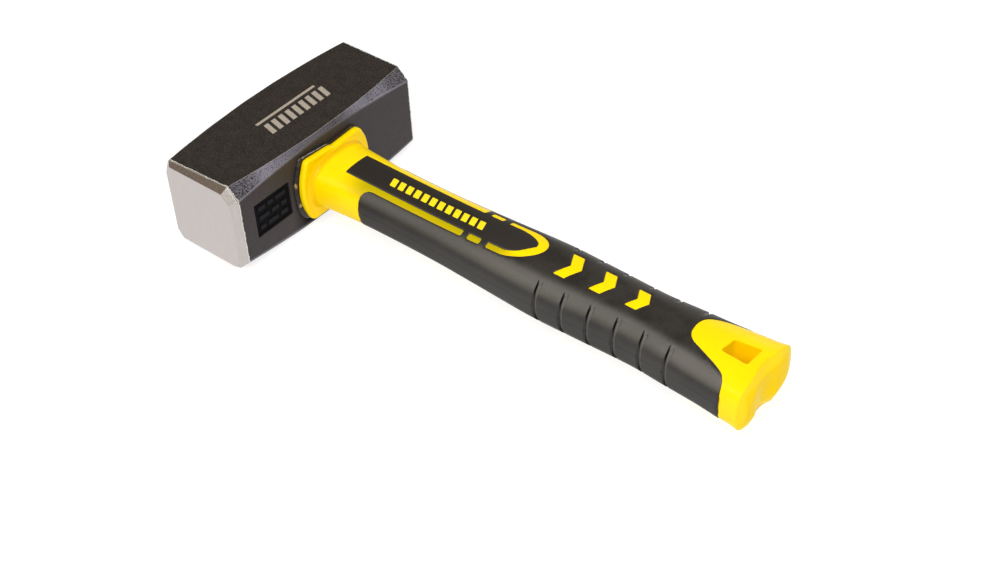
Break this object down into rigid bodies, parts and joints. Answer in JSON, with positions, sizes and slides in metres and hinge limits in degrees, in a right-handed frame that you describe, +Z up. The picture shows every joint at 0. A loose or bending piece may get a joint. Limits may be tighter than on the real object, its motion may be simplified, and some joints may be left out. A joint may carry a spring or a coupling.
{
  "type": "club hammer",
  "caption": "Short-handled club hammer: octagonal steel head with two flat striking faces on a fibreglass handle with a soft grip.",
  "frame": {"origin": "middle of the lower cheek of the head, where the hammer rests when laid on its side", "axes": "+X along the handle from the head to the butt, +Y across the head from the near striking face to the far one, +Z up out of the upper cheek"},
  "size_m": [0.2734, 0.115, 0.045],
  "materials": {
    "painted_steel": "black lacquer over forged steel, satin, with both striking faces ground bright",
    "fibreglass": "pultruded glass fibre in resin, satin",
    "cured_resin": "cured epoxy resin, glossy",
    "yellow_plastic": "injection-moulded plastic, satin gloss",
    "black_rubber": "soft thermoplastic rubber, satin"
  },
  "bodies": {
    "root": {"hammer_head": "painted_steel", "fibreglass_core": "fibreglass", "resin_bond": "cured_resin", "handle_jacket": "yellow_plastic", "soft_grip": "black_rubber"}
  },
  "joints": []
}
